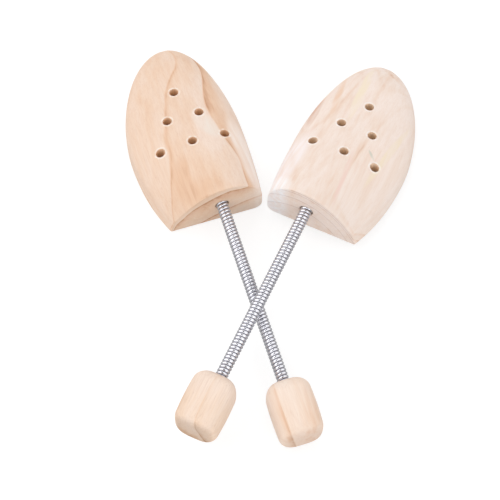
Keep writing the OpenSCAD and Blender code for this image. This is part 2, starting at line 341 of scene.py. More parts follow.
def across_grain(finish, place):
    """1 where the surface cuts across the fibres, 0 where it runs along them."""
    normal = finish.node("ShaderNodeNewGeometry", output="Normal")
    values = {0: normal, 1: place.col[1].xyz}
    along = finish.node("ShaderNodeVectorMath", {"operation": "DOT_PRODUCT"}, values, 1)
    return abs(along).between(*CUT_EDGE)


for side, place in places.items():
    print(side, "fibres run along", [round(v, 2) for v in place.col[1].xyz])

# %% Tell the seasons of a ring apart
TONE_STOPS = {"pale": 0.0, "warm": 0.4, "deep": 0.75, "line": 1.0}


def ring_lateness(finish, age, rings):
    """How late in its year the wood of this age grew, from (age, lateness) pairs."""
    low, high = rings[0][0], rings[-1][0]
    stops = [((level - low) / (high - low), grey(late)) for level, late in rings]
    ramp = finish.node("ShaderNodeValToRGB", {"stops": stops}, {0: (age - low) / (high - low)})
    return finish.node("ShaderNodeSeparateColor", None, {0: ramp})


def season_colour(finish, late, tones):
    stops = [(at, tones[tone]) for tone, at in TONE_STOPS.items()]
    return finish.node("ShaderNodeValToRGB", {"stops": stops}, {0: late})


print("the tones of a ring:", list(TONE_STOPS))

# %% [markdown]
# ## Grain and marks
# Inside its rings, pine is full of fibres. They run along the tree, so the noises that draw them are
# stretched that way, and show as dots on the cut ends. Single marks, such as a greenish streak or a paler
# patch, are ovals seen from above, and the drill tore pale chips from the rims of the vent holes. All of
# these could be painted on, but formulas need no picture and stay sharp from near by.

# %% List the noises of the wood
# How often each changes in a millimetre, across the fibres and along them
NOISES = {
    "ripple": {"across": 0.16, "along": 0.025, "detail": 3.0, "roughness": 0.5},
    "patches": {"across": 0.06, "along": 0.014, "detail": 2.0, "roughness": 0.5},
    "streaks": {"across": 0.30, "along": 0.018, "detail": 2.0, "roughness": 0.5},
    "fibres": {"across": 1.1, "along": 0.045, "detail": 4.0, "roughness": 0.6},
    "fine": {"across": 3.2, "along": 0.10, "detail": 3.0, "roughness": 0.6},
    "flecks": {"across": 1.9, "along": 0.11, "detail": 1.0, "roughness": 0.5},
    "chips": {"across": 0.45, "along": 0.35, "detail": 2.0, "roughness": 0.5},
    "pores": {"across": 2.4, "along": 2.4, "detail": 3.0, "roughness": 0.7},
}
# Where a noise begins to show, and where it shows in full
SHOWS = {"patches": (0.3, 0.7), "streaks": (0.3, 0.7), "grain": (0.40, 0.70), "flecks": (0.66, 0.76),
         "chips": (0.42, 0.56), "pores": (0.3, 0.75), "late_wood": (0.32, 0.72)}


def wood_noise(finish, axes, seed, name):
    x, y, z = axes
    across, along, detail, roughness = NOISES[name].values()
    values = {0: x * across + seed, 1: y * along + seed, 2: z * across}
    vector = finish.node("ShaderNodeCombineXYZ", None, values)
    return finish.noise(vector, detail=detail, roughness=roughness)


print("noises of the wood:", list(NOISES))

# %% Place the vent holes
VENT_D, VENT_ROWS, VENT_GAP, VENT_BACK, VENT_ASIDE = 6.5, 3, 23, 48.5, 6

vents = []
for row in range(VENT_ROWS):
    for k in range(row + 1):
        vents.append(((k - row / 2) * VENT_GAP - VENT_ASIDE, VENT_BACK + (VENT_ROWS - 1 - row) * VENT_GAP))
print("vent holes at", vents)

# %% Find the marks on a piece
OVAL_EDGE = (0.1, 1.0)
RIM_MIDDLE, RIM_EDGE = 0.5, (0.3, 1.1)


def oval(x, y, centre, half_length, half_width, slant=0.0):
    """1 in the middle of an oval and 0 at its rim. The slant turns its length away from the tree's own."""
    c, s = math.cos(math.radians(slant)), math.sin(math.radians(slant))
    aside, ahead = x - centre[0], y - centre[1]
    along, across = (ahead * c - aside * s) / half_length, (aside * c + ahead * s) / half_width
    return 1 - (along * along + across * across).between(*OVAL_EDGE)


def torn_rims(x, y):
    """1 on the rim of each vent hole."""
    rims = 0.0
    for at_x, at_y in vents:
        distance = ((x - at_x) * (x - at_x) + (y - at_y) * (y - at_y)) ** 0.5
        rims = 1 - abs(distance - VENT_D / 2 - RIM_MIDDLE).between(*RIM_EDGE) + rims
    return rims


print("a torn rim reaches", RIM_MIDDLE + RIM_EDGE[1], "mm past its hole")

# %% [markdown]
# ## One finish for all the wood
# All four wooden pieces are pine. Four finishes made by hand would drift apart with every change, so one
# function makes them all, and each gets its own rings, tones and marks. Sanded pine has no gloss and hardly
# any relief, so its roughness is high, and only a faint bump follows the grain. The cut ends soak up more
# dust, and the same rings show darker there.

# %% Make the finish of a piece of pine
FINE_SHARE, PORE_SHARE, WHOLE_CHIP, FAINT_CHIP, FAINT_MARK = 0.4, 0.2, 0.4, 0.15, 0.4
PINE_BUMP = {"distance": 0.0001, "grain": 0.6, "late": 0.1, "pores": 0.8}
PINE_ROUGHNESS, FINE_ROUGHNESS, PINE_SPECULAR = 0.62, 0.12, 0.35


def pine(name, place, growth, rings, tones, seed, stain_and_shade, marks=()):
    """growth(x, y, z) is in millimetres, and marks are oval, colour pairs. stain(x, y, z) makes wood
    warmer, and on a knob it also paints shade on the foot of the far end.
    """
    finish = Finish(name)
    axes = x, y, z = tree_axes(finish, place)

    def noise(kind):
        return wood_noise(finish, axes, seed, kind)

    age = growth(x, y, z) + (noise("ripple") - 0.5) * tones["ripple"]
    ring = ring_lateness(finish, age, rings)
    patches = noise("patches").between(*SHOWS["patches"])
    streaks = noise("streaks").between(*SHOWS["streaks"])
    # The stain also paints shade: on a knob it darkens the foot of the far end.
    late = ring + (patches - 0.5) * tones["patches"] + (streaks - 0.5) * tones["streaks"] + stain_and_shade(x, y, z)
    wood = season_colour(finish, late, tones)

    fine = noise("fine")
    grain = noise("fibres") * (1 - FINE_SHARE) + fine * FINE_SHARE
    wood = finish.mix(grain.between(*SHOWS["grain"]) * tones["grain"], wood, tones["line"])
    flecks = noise("flecks").between(*SHOWS["flecks"])
    wood = finish.mix(flecks * tones["flecks"], wood, tones["line"])
    for where, tone in marks:
        shown = oval(x, y, *where) * (FAINT_MARK + streaks * (1 - FAINT_MARK))
        wood = finish.mix(shown, wood, tone)
    if "torn" in tones:
        chips = noise("chips").between(*SHOWS["chips"])
        wood = finish.mix(torn_rims(x, y) * (FAINT_CHIP + chips * WHOLE_CHIP), wood, tones["torn"])

    cut = across_grain(finish, place)
    pores = noise("pores").between(*SHOWS["pores"])
    dark = pores * PORE_SHARE + ring.between(*SHOWS["late_wood"]) * (1 - PORE_SHARE)
    soaked = finish.mix(dark, tones["end"], tones["end_dark"])
    wood = finish.mix(cut, wood, finish.mix(1.0, wood, soaked, "MULTIPLY"))

    height = grain * PINE_BUMP["grain"] + late * PINE_BUMP["late"] + pores * cut * PINE_BUMP["pores"]
    finish.set(Base_Color=wood, Roughness=PINE_ROUGHNESS + fine * FINE_ROUGHNESS,
               Normal=finish.bump(height, PINE_BUMP["distance"]), Specular_IOR_Level=PINE_SPECULAR)
    return finish.owner


print("pine is between", PINE_ROUGHNESS, "and", round(PINE_ROUGHNESS + FINE_ROUGHNESS, 2), "rough")

# %% [markdown]
# ## The left block's board
# Two dark ring lines run down this block, one on the outer side and one on the inner, and bow round the
# holes. Rings that are leaning planes come close. A little cupping, two bows and a dip over the saddle, the
# back of the top, bring both lines to their places. Each bend begins and ends smoothly, between two named
# places. All lengths are millimetres of the tree's own frame.

# %% Grow the left block's rings
LINE_AT, LINE_SWING = 32, 9
RISE_ASIDE, RISE_AHEAD = 0.442, 0.0531
CUP_ASIDE, CUP_AHEAD, TWIST, TWIST_EASE = 0.00517, 0.00184, 0.00796, 0.0000543
FRONT_BOW, BACK_BOW, OUTER_WALL_LIFT, SADDLE_DIP, SADDLE_LEAN = 0.068, 0.075, 13, 6.2, 0.8
LINE_SWINGS, WALL_BEGINS, WALL_ENDS, WALL_TOP = (4, 34), (0, 8), (60, 100), (4, 30)
FRONT_BOW_RISES, FRONT_BOW_FALLS, BACK_BOW_RISES, BACK_BOW_FALLS = (48, 80), (84, 112), (3, 24), (24, 50)
SADDLE_OUTSIDE, SADDLE_FRONT, SADDLE_INSIDE, SADDLE_RISES = (-14, 4), (16, 56), (5, 23), (12, 37)


def left_growth(x, y, z):
    """The height of a point over leaning ring planes, bent to follow both lines."""
    past_line = LINE_SWING * y.between(*LINE_SWINGS) - x - LINE_AT
    outer_wall = past_line.between(*WALL_BEGINS) * (1 - y.between(*WALL_ENDS)) * (1 - z.between(*WALL_TOP))
    front_bow = FRONT_BOW * (y.between(*FRONT_BOW_RISES) - y.between(*FRONT_BOW_FALLS))
    back_bow = BACK_BOW * (y.between(*BACK_BOW_RISES) - y.between(*BACK_BOW_FALLS))
    saddle = SADDLE_DIP * (1 - past_line.between(*SADDLE_OUTSIDE)) * (1 - y.between(*SADDLE_FRONT))
    saddle = saddle * (1 - x.between(*SADDLE_INSIDE)) * (z - SADDLE_LEAN * x).between(*SADDLE_RISES)
    cup = CUP_ASIDE * x * x + CUP_AHEAD * y * y + (TWIST - TWIST_EASE * y) * x * y
    level = z - RISE_ASIDE * x - RISE_AHEAD * y + cup - (front_bow - back_bow) * x
    return level + OUTER_WALL_LIFT * outer_wall - saddle


LEFT_RINGS = [
    (2, 0.1), (7, 0.4), (8.7, 0.75), (9.1, 1.0), (9.6, 0.1), (17, 0.25), (22, 0.45), (25.5, 0.66),
    (27.0, 0.84), (27.5, 1.0), (27.9, 0.1), (29.5, 0.15), (31, 0.32), (33.9, 0.44), (34.3, 0.6),
    (34.6, 0.88), (35.0, 0.3), (37, 0.3), (39, 0.42), (39.6, 0.3), (43, 0.36)]
DARK_LINE = 0.85
print("dark lines of the left block at", [level for level, late in LEFT_RINGS if late > DARK_LINE])

# %% Choose the left block's tones and marks
LEFT_TONES = {
    "pale": colour(243, 221, 205), "warm": colour(239, 210, 187), "deep": colour(233, 195, 165),
    "line": colour(206, 156, 124), "end": colour(255, 255, 253), "end_dark": colour(246, 239, 234),
    "torn": colour(255, 246, 238),
    "ripple": 0.35, "patches": 0.18, "streaks": 0.2, "grain": 0.2, "flecks": 0.25}
LEFT_MARKS = [
    (((27, 26), 44, 9, 4), colour(253, 242, 234)),
    (((7, 60), 18, 7, 20), colour(240, 226, 214))]
SADDLE_OVAL, FRONT_OVAL, INNER_WALL = ((-11, 18), 26, 20), ((8, 54), 24, 13), (17, 27)
SADDLE_WARMTH, FRONT_PALENESS, INNER_PALENESS = 0.34, 0.4, 0.35


def left_stain(x, y, z):
    """The saddle is warmer, and the wood in front of it and on the inner wall paler."""
    saddle, before = oval(x, y, *SADDLE_OVAL), oval(x, y, *FRONT_OVAL)
    return saddle * SADDLE_WARMTH - before * FRONT_PALENESS - x.between(*INNER_WALL) * INNER_PALENESS


print("marks on the left block:", len(LEFT_MARKS))

# %% [markdown]
# ## The right block's board
# This board was cut nearer to the bark. Its rings are wide, flat arcs, so they lie almost along the top and
# show there as soft streaks. Leaning planes would draw straight lines, so here the rings go round a heart
# far below the block. It also has a small greenish streak and some pink ones.

# %% Grow the right block's rings
HEART_ASIDE, HEART_BELOW, HEART_DRIFT, HEART_FALL = 7.5, 83, 0.123, 0.19
ARC_FLATNESS, AGE_PER_MM, YOUNGEST_R = 0.278, 4, 62
RIGHT_LINES = (-34, -12, 2.6, 7.4, 13.6)
DARKENS_OVER, PALES_OVER = 2.2, 1.1
LATE_BEFORE, LATE_ON_LINE, LATE_AFTER = 0.3, 0.58, 0.2


def right_growth(x, y, z):
    """The age of the wood, by its distance from the heart of the log."""
    sideways = x - HEART_ASIDE + HEART_DRIFT * y
    upwards = z + HEART_BELOW + HEART_FALL * y
    radius = (sideways * sideways + ARC_FLATNESS * upwards * upwards) ** 0.5
    return AGE_PER_MM * (radius - YOUNGEST_R)


RIGHT_RINGS = []
for at in RIGHT_LINES:
    RIGHT_RINGS += [(at - DARKENS_OVER, LATE_BEFORE), (at, LATE_ON_LINE), (at + PALES_OVER, LATE_AFTER)]
print("lines of the right block at", RIGHT_LINES)

# %% Choose the right block's tones and marks
RIGHT_TONES = {
    "pale": colour(248, 232, 222), "warm": colour(245, 226, 213), "deep": colour(240, 214, 196),
    "line": colour(222, 186, 162), "end": colour(255, 255, 255), "end_dark": colour(212, 204, 206),
    "torn": colour(255, 250, 246),
    "ripple": 0.9, "patches": 0.4, "streaks": 0.42, "grain": 0.18, "flecks": 0.22}
RIGHT_MARKS = [
    (((25, 26), 40, 10, 4), colour(252, 242, 240)),
    (((24, 2), 12, 13), colour(255, 252, 252)),
    (((-23.5, 56), 5.5, 1.2, -46), colour(214, 210, 196)),
    (((28, 80), 22, 4, -4), colour(224, 188, 168)),
    (((4, 104), 32, 4, -4), colour(246, 230, 206)),
    (((-33, 62), 38, 3, 8), colour(245, 228, 204)),
    (((18, 96), 26, 3, -8), colour(240, 208, 184)),
    (((-14, 30), 30, 2.2, -6), colour(243, 214, 202))]
TOE_OVAL, TOE_PALENESS = ((-22, 112), 28, 18), 0.45


def right_stain(x, y, z):
    """The outer side of the toe is paler."""
    return oval(x, y, *TOE_OVAL) * -TOE_PALENESS


print("marks on the right block:", len(RIGHT_MARKS))

# %% [markdown]
# ## The knobs' wood
# Each knob shows one ring line from end to end. It could have rings bent like a block's, but on so small a
# piece a curve hardly shows. Flat rings with a slight lean give the line, and a stain lets it fade towards
# the spring. Painted shade darkens the foot of the far end.

# %% Grow the knobs' rings
KNOB_AXIS_H, KNOB_RISE_ASIDE = 15.3, 0.93
FAR_END, FOOT_TOP, NEAR_SPRING = (-176, -170), (3, 16), (-163, -143)
KNOB_RINGS = (
    (-8, 0.28), (-3.5, 0.38), (-0.9, 0.52), (0, 0.66), (1.1, 0.22), (5, 0.25), (10, 0.36), (15, 0.42))


def knob_growth(lean, line_at):
    """Flat rings that lean a little, with one line through the knob."""
    return lambda x, y, z: KNOB_RISE_ASIDE * x + lean * (z - KNOB_AXIS_H) - line_at


def knob_stain_and_shade(fade, foot):
    """The line fades towards the spring, and painted shade makes the foot of the far end darker."""
    def stain_and_shade(x, y, z):
        # Painted shade: the foot of the far end turns darker.
        painted_shade_at_foot = (1 - y.between(*FAR_END)) * (1 - z.between(*FOOT_TOP))
        return painted_shade_at_foot * foot - y.between(*NEAR_SPRING) * fade

    return stain_and_shade


print("each knob has", len(KNOB_RINGS), "steps of tone across it")

# %% Choose the knobs' tones
# Each knob comes from the other block's kind of board. It has no vent holes, so no torn rims.
KNOB_TONES = {
    "left": {
        **RIGHT_TONES, "pale": colour(248, 230, 216), "warm": colour(245, 222, 204),
        "deep": colour(236, 200, 172), "line": colour(208, 164, 134), "end": colour(248, 245, 244),
        "end_dark": colour(224, 216, 210), "ripple": 0.5, "streaks": 0.2},
    "right": {
        **LEFT_TONES, "pale": colour(247, 226, 210), "warm": colour(244, 218, 196),
        "deep": colour(232, 194, 162), "line": colour(190, 144, 112), "end": colour(234, 232, 230),
        "end_dark": colour(208, 201, 197), "ripple": 0.5},
}
for tones in KNOB_TONES.values():
    del tones["torn"]
print("tones of a knob:", sorted(KNOB_TONES["left"]))

# %% Make all four pines
SEEDS = {"left_block": 3.1, "right_block": 11.7, "left_knob": 7.3, "right_knob": 5.9}
BOARDS = {
    "left_block": (left_growth, LEFT_RINGS, LEFT_TONES, left_stain, LEFT_MARKS),
    "right_block": (right_growth, RIGHT_RINGS, RIGHT_TONES, right_stain, RIGHT_MARKS),
    # The second number of each knob's stain is its painted shade at the foot of the far end.
    "left_knob": (knob_growth(0.15, -6.2), KNOB_RINGS, KNOB_TONES["left"], knob_stain_and_shade(0.1, 0.3), ()),
    "right_knob": (knob_growth(-0.37, -5.5), KNOB_RINGS, KNOB_TONES["right"], knob_stain_and_shade(0.3, 0.6), ()),
}

pines = {}
for body, (growth, rings, tones, stain_and_shade, marks) in BOARDS.items():
    place = places[body.split("_")[0]]
    pines[body] = pine(body + "_pine", place, growth, rings, tones, SEEDS[body], stain_and_shade, marks)

# %% [markdown]
# ## Working on a mesh
# Every piece is made by the same few steps of edit mode: select some edges, close an opening with a face,
# and turn all faces outwards. They could be written out each time. As helpers with plain names, they leave
# the shape of each piece easy to read.


# %% Select parts of a mesh
def select_only(piece):
    bpy.ops.object.select_all(action="DESELECT")
    piece.select_set(True)
    bpy.context.view_layer.objects.active = piece


def open_mesh(piece, choice):
    """Open a piece in edit mode, with all of its edges selected or none."""
    select_only(piece)
    bpy.ops.object.mode_set(mode="EDIT")
    bpy.ops.mesh.select_mode(type="EDGE")
    bpy.ops.mesh.select_all(action=choice)


def close_mesh():
    bpy.ops.object.mode_set(mode="OBJECT")


def open_at(piece, wanted):
    """Open a piece with those edges selected whose two ends both pass the test."""
    open_mesh(piece, "DESELECT")
    close_mesh()
    ends = piece.data.vertices
    for edge in piece.data.edges:
        edge.select = all(wanted(ends[k].co) for k in edge.vertices)
    bpy.ops.object.mode_set(mode="EDIT")


print("pieces to be carved:", sorted(pines))


# %% Mend a mesh and wrap a sheet
def merge_doubles(piece, reach):
    open_mesh(piece, "SELECT")
    bpy.ops.mesh.remove_doubles(threshold=reach)
    close_mesh()


def face_outwards(piece):
    open_mesh(piece, "SELECT")
    bpy.ops.mesh.normals_make_consistent(inside=False)
    close_mesh()


def smooth(piece, angle):
    """Shade a piece smooth, but for its edges sharper than the angle, and print its triangles."""
    bpy.ops.object.shade_smooth_by_angle(angle=math.radians(angle))
    print(piece.name, "has", sum(len(face.vertices) - 2 for face in piece.data.polygons), "triangles")


SHEET_MERGE = 0.00001


def wrapped_sheet(name, columns, rows, point):
    """A grid whose points go to point(u, v), with its doubles merged."""
    bpy.ops.object.select_all(action="DESELECT")
    bpy.ops.mesh.primitive_grid_add(x_subdivisions=columns, y_subdivisions=rows, size=1)
    piece = bpy.context.object
    piece.name = name
    for vertex in piece.data.vertices:
        u, v = (min(max(at + 0.5, 0), 1) for at in vertex.co.xy)
        vertex.co = Vector(point(u, v)) * MM
    merge_doubles(piece, SHEET_MERGE)
    return piece


print("points of a sheet closer than", SHEET_MERGE / MM, "mm become one")

# %% [markdown]
# ## Carving a block from a sheet
# The block has a flat sole, a flat back and one free surface between them, which rises from the edge of the
# sole over a wall and an arch to the ridge. It could be sculpted, but then its sizes would only be near. A
# grid wraps round it well: its columns follow the outline from the outer back corner over the toe to the
# inner one, and its rows climb from the sole to the ridge. The outline is two cubic curves a side, and the
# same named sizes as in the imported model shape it, so the two agree.

# %% Draw the outline of the sole
# All in millimetres, in a tree's own frame.
BLOCK_LENGTH, WIDE_AT, TOE_ASIDE = 139.5, 57, 2
SIDES = {
    "outer": {"sign": -1, "back": 37.3, "wide": 48.6, "toe_bend": 25},
    "inner": {"sign": 1, "back": 28.7, "wide": 32, "toe_bend": 23},
}
SIDE_SHARE, LEAVING_BACK, LEAVING_SIDE, REACHING_WIDE, LEAVING_WIDE = 0.42, 0.32, 0.74, 0.65, 0.42


def mix(a, b, share):
    return a + (b - a) * share


def cubic(points, u):
    """A point on a cubic curve with four control points."""
    weights = ((1 - u) ** 3, 3 * (1 - u) ** 2 * u, 3 * (1 - u) * u * u, u ** 3)
    return sum((Vector(p) * w for p, w in zip(points, weights)), Vector((0, 0)))


def sole_edge(u, side):
    """The sole's outline, for u from 0 at the back face to 1 at the tip."""
    sign, back, wide, toe_bend = SIDES[side].values()
    if u < SIDE_SHARE:
        leaving = (sign * mix(back, wide, LEAVING_SIDE), LEAVING_BACK * WIDE_AT)
        reaching = (sign * wide, REACHING_WIDE * WIDE_AT)
        return cubic(((sign * back, 0), leaving, reaching, (sign * wide, WIDE_AT)), u / SIDE_SHARE)
    leaving = (sign * wide, mix(WIDE_AT, BLOCK_LENGTH, LEAVING_WIDE))
    tip = (-TOE_ASIDE, BLOCK_LENGTH)
    reaching = (tip[0] + sign * toe_bend, BLOCK_LENGTH)
    return cubic(((sign * wide, WIDE_AT), leaving, reaching, tip), (u - SIDE_SHARE) / (1 - SIDE_SHARE))


widest = (sole_edge(SIDE_SHARE, "inner") - sole_edge(SIDE_SHARE, "outer")).x
print("widest place of the sole:", round(widest, 1), "mm")

# %% Find the way into the block
OUTLINE_STEP = 0.001


def into_block(u, side):
    """The level direction square to the outline, into the block."""
    before, after = max(u - OUTLINE_STEP, 0), min(u + OUTLINE_STEP, 1)
    step = sole_edge(after, side) - sole_edge(before, side)
    return Vector((-step.y, step.x)).normalized() * SIDES[side]["sign"]


print("from the inner back corner, into the block is", [round(v, 2) for v in into_block(0, "inner")])

# %% Draw the ridge
INSTEP_HEIGHT, MID_HEIGHT, NOSE_HEIGHT, TIP_HEIGHT, RIDGE_ASIDE = 39.5, 27.8, 17, 7, 4
NOSE_LENGTH, RIDGE_SHORT, NOSE_FLATNESS, NOSE_FULLNESS = 27, 2.5, 2.4, 0.6
NOSE_AT, RIDGE_END = BLOCK_LENGTH - NOSE_LENGTH, BLOCK_LENGTH - RIDGE_SHORT


def slope_height(y):
    """The instep falls to the nose on a parabola."""
    v = y / NOSE_AT
    sag = mix(INSTEP_HEIGHT, NOSE_HEIGHT, 0.5) - MID_HEIGHT
    return mix(INSTEP_HEIGHT, NOSE_HEIGHT, v) - 4 * sag * v * (1 - v)


def ridge_point(u):
    y = sole_edge(u, "outer").y * RIDGE_END / BLOCK_LENGTH
    v = min(max(0, (y - NOSE_AT) / (RIDGE_END - NOSE_AT)), 1)
    height = TIP_HEIGHT + (slope_height(y) - TIP_HEIGHT) * (1 - v ** NOSE_FLATNESS) ** NOSE_FULLNESS
    return Vector((mix(RIDGE_ASIDE, -TOE_ASIDE, y / RIDGE_END), y, height))


print("ridge from", [round(v, 1) for v in ridge_point(0)], "to", [round(v, 1) for v in ridge_point(1)])

# %% Shape the sides between sole and ridge
OUTER_WALL_HEIGHT, OUTER_WALL_LEAN = 12, 3.3
OUTER_WALL_SHARE = OUTER_WALL_HEIGHT / INSTEP_HEIGHT
LEAN_SHARE = OUTER_WALL_LEAN / (SIDES["outer"]["back"] + RIDGE_ASIDE)
OUTER_BLEND, INNER_WALL_SHARE, TOE_WALL_SHARE = 0.55, 0.37, 0.3


def sloping_side(q):
    """A wall that leans in, and then the long slope of the instep."""
    if q < 0:
        return (1 + q) * LEAN_SHARE, (1 + q) * OUTER_WALL_SHARE
    turn = math.pi / 2 * q
    return 1 - (1 - LEAN_SHARE) * math.cos(turn), mix(OUTER_WALL_SHARE, 1, math.sin(turn) ** 2)


def round_side(q, wall):
    """An upright wall, and then a round arch."""
    if q < 0:
        return 0, (1 + q) * wall
    return 1 - math.cos(math.pi / 2 * q), mix(wall, 1, math.sin(math.pi / 2 * q))


def profile(u, side, q):
    """Shares of the way to the ridge and of its height, on the wall for q below 0, else on the arch."""
    if side == "inner":
        return round_side(q, mix(INNER_WALL_SHARE, TOE_WALL_SHARE, u))
    blend = min(u / OUTER_BLEND, 1)
    blend = blend * blend * (3 - 2 * blend)
    return [mix(a, b, blend) for a, b in zip(sloping_side(q), round_side(q, TOE_WALL_SHARE))]


print("halfway up the outer arch at the back:", [round(v, 2) for v in profile(0, "outer", 0.5)])

# %% Find a point of the block's surface
OUTER_EDGE_R, INNER_EDGE_R, LEAST_WALL = 1.6, 6, 1.3
EDGE_ROWS, WALL_ROWS, BLOCK_COLUMNS, BLOCK_ROWS = 0.14, 0.32, 144, 40


def side_point(across, up):
    """across goes round the outline, up climbs from the sole to the ridge. Both run from 0 to 1."""
    side = "outer" if across <= 0.5 else "inner"
    u = math.sin(math.pi / 2 * (1 - abs(2 * across - 1)))
    foot, top = sole_edge(u, side), ridge_point(u)
    way = top.xy - foot
    edge = mix(OUTER_EDGE_R if side == "outer" else INNER_EDGE_R, OUTER_EDGE_R, u)
    wall = max(profile(u, side, 0)[1] * top.z, edge * LEAST_WALL)
    if up < EDGE_ROWS:
        turn = math.pi / 2 * up / EDGE_ROWS
        z = edge * (1 - math.cos(turn))
        lean = way * profile(u, side, edge / wall - 1)[0] * z / edge
        return (*(foot + lean + into_block(u, side) * edge * (1 - math.sin(turn))), z)
    if up < WALL_ROWS:
        z = mix(edge, wall, (up - EDGE_ROWS) / (WALL_ROWS - EDGE_ROWS))
        return (*(foot + way * profile(u, side, z / wall - 1)[0]), z)
    share = profile(u, side, (up - WALL_ROWS) / (1 - WALL_ROWS))
    return (*(foot + way * share[0]), max(share[1] * top.z, wall))


def block_point(across, up):
    """The same, with the back end cut off square."""
    x, y, z = side_point(across, up)
    return x, y if 0 < across < 1 else 0, z


print("top of the back face:", [round(v, 1) for v in block_point(0, 1)])

# %% [markdown]
# ## Drilling the wood
# Six vent holes go down through the block, the spring sits in a bore in the back, and a thin brad holds its
# plug from below. Each is a cylinder that a Boolean modifier takes away, as the drill did. A bump or a dark
# disc would be lighter, but the holes here are deep enough to look into. The drill leaves rough wood, so
# the cylinders carry a finish of their own, which the modifier hands to the walls that they leave. Its
# tones are paler than the blocks' pine, by painted light in the shaded holes.

# %% Make the finish of a drilled wall
DRILLED_BUMP, DRILLED_ROUGHNESS, DRILLED_SPECULAR = 0.0002, 0.8, 0.2


def drilled_wood(name, wall, deep):
    finish = Finish(name)
    point = finish.node("ShaderNodeTexCoord", output="Object")
    rough = finish.noise(point, scale=900.0, detail=3.0, roughness=0.7)
    finish.set(Base_Color=finish.mix(rough, wall, deep), Roughness=DRILLED_ROUGHNESS,
               Normal=finish.bump(rough, DRILLED_BUMP), Specular_IOR_Level=DRILLED_SPECULAR)
    return finish.owner


# The wall tones are drilled pine, made paler than the blocks' own wood by painted light in the shaded
# holes.
drilled_walls_painted_light = {
    "left": drilled_wood("left_drilled_painted_light", colour(255, 229, 202), colour(240, 202, 168)),
    "right": drilled_wood("right_drilled_painted_light", colour(255, 238, 218), colour(246, 216, 188)),
}

# %% Drill holes
# Each hole starts a little way outside the wood, or inside the hole that it carries on.
PAST, DRILL_SIDES = 1, 48


def drill(piece, start, end, diameter, wall):
    """Take a cylinder out of a piece, from start to end, in the piece's millimetres."""
    start, end = Vector(start) * MM, Vector(end) * MM
    radius, depth = diameter / 2 * MM, (end - start).length
    bpy.ops.object.select_all(action="DESELECT")
    bpy.ops.mesh.primitive_cylinder_add(vertices=DRILL_SIDES, radius=radius, depth=depth)
    bit = bpy.context.object
    turn = (end - start).to_track_quat("Z", "Y").to_matrix().to_4x4()
    bit.matrix_world = Matrix.Translation((start + end) / 2) @ turn
    bit.data.materials.append(wall)
    select_only(piece)
    cut = piece.modifiers.new("drill", "BOOLEAN")
    cut.object, cut.operation, cut.solver, cut.material_mode = bit, "DIFFERENCE", "EXACT", "TRANSFER"
    bpy.ops.object.modifier_apply(modifier="drill")
    bpy.data.objects.remove(bit)


print("each hole has", DRILL_SIDES, "sides")

# %% Drill an end of a shaft
# The shaft is the axis of a spring, carried on into the wood at both ends.
SHAFT_SLOPE, SHAFT_H = rise("left"), spring_height / MM
COIL_BORE_D, COIL_BORE_DEPTH, PLUG_HOLE_D, PLUG_HOLE_DEPTH = 9.8, 14, 3.7, 22.05
BRAD_AT, BRAD_HOLE_D, BRAD_HEAD_HOLE_D, BRAD_HEAD_HOLE_DEPTH = 9.25, 1, 2.3, 0.95


def on_shaft(y, up=0.0):
    """A point of a tree's frame: y forwards along the shaft, and up from it."""
    c, s = math.cos(SHAFT_SLOPE), math.sin(SHAFT_SLOPE)
    return Vector((0, y * c + up * s, SHAFT_H - y * s + up * c))


def drill_shaft(piece, mouth, way, drop, wall):
    """Drill the holes for a coil, its plug and its brad. They go in at the mouth, forwards for way 1 and
    backwards for way -1, and the brad comes from the wood's underside, the drop below the shaft."""
    def inside(depth, up=0.0):
        return on_shaft(mouth + way * depth, up)

    below, head_end = inside(BRAD_AT, -drop - PAST), inside(BRAD_AT, BRAD_HEAD_HOLE_DEPTH - drop)
    drill(piece, inside(-PAST), inside(COIL_BORE_DEPTH), COIL_BORE_D, wall)
    drill(piece, inside(COIL_BORE_DEPTH - PAST), inside(PLUG_HOLE_DEPTH), PLUG_HOLE_D, wall)
    drill(piece, below, inside(BRAD_AT), BRAD_HOLE_D, wall)
    drill(piece, below, head_end, BRAD_HEAD_HOLE_D, wall)


print("the shaft falls", round(-math.degrees(SHAFT_SLOPE), 2), "degrees from block to knob")

# %% [markdown]
# ## The blocks
# The sheet is closed with two flat faces, the sole and the back. The edge of the back is broken a little,
# as sanding leaves it. A bevel does that on the mesh itself, so the edge catches the light.

# %% Place a finished piece
WOOD_SMOOTH_ANGLE = 38


def settle(piece, side):
    """Move a finished piece from its tree's frame to the shared one, with its faces outwards."""
    piece.data.transform(places[side])
    piece.matrix_world = Matrix.Identity(4)
    face_outwards(piece)
    smooth(piece, WOOD_SMOOTH_ANGLE)
    return piece


print("wood is smooth but for edges of over", WOOD_SMOOTH_ANGLE, "degrees")

# %% Build and place both blocks
BACK_EDGE_BEVEL, BEVEL_STEPS, ON_PLANE = 0.0008, 3, 1e-6


def on_back(co):
    return abs(co.y) < ON_PLANE


def on_sole(co):
    return abs(co.z) < ON_PLANE


def build_block(side):
    block = wrapped_sheet(side + "_block", BLOCK_COLUMNS, BLOCK_ROWS, block_point)
    block.data.materials.append(pines[side + "_block"])
    for flat in (on_back, on_sole):
        open_at(block, flat)
        bpy.ops.mesh.edge_face_add()
        close_mesh()
    face_outwards(block)
    open_at(block, on_back)
    bpy.ops.mesh.bevel(offset=BACK_EDGE_BEVEL, segments=BEVEL_STEPS, affect="EDGES")
    close_mesh()
    for x, y in vents:
        drill(block, (x, y, -PAST), (x, y, INSTEP_HEIGHT + PAST), VENT_D, drilled_walls_painted_light[side])
    drill_shaft(block, 0, 1, on_shaft(BRAD_AT).z / math.cos(SHAFT_SLOPE), drilled_walls_painted_light[side])
    return settle(block, side)


blocks = {side: build_block(side) for side in places}
for side, block in blocks.items():
    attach(block, side + "_block")
    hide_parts(side + "_forefoot_block")

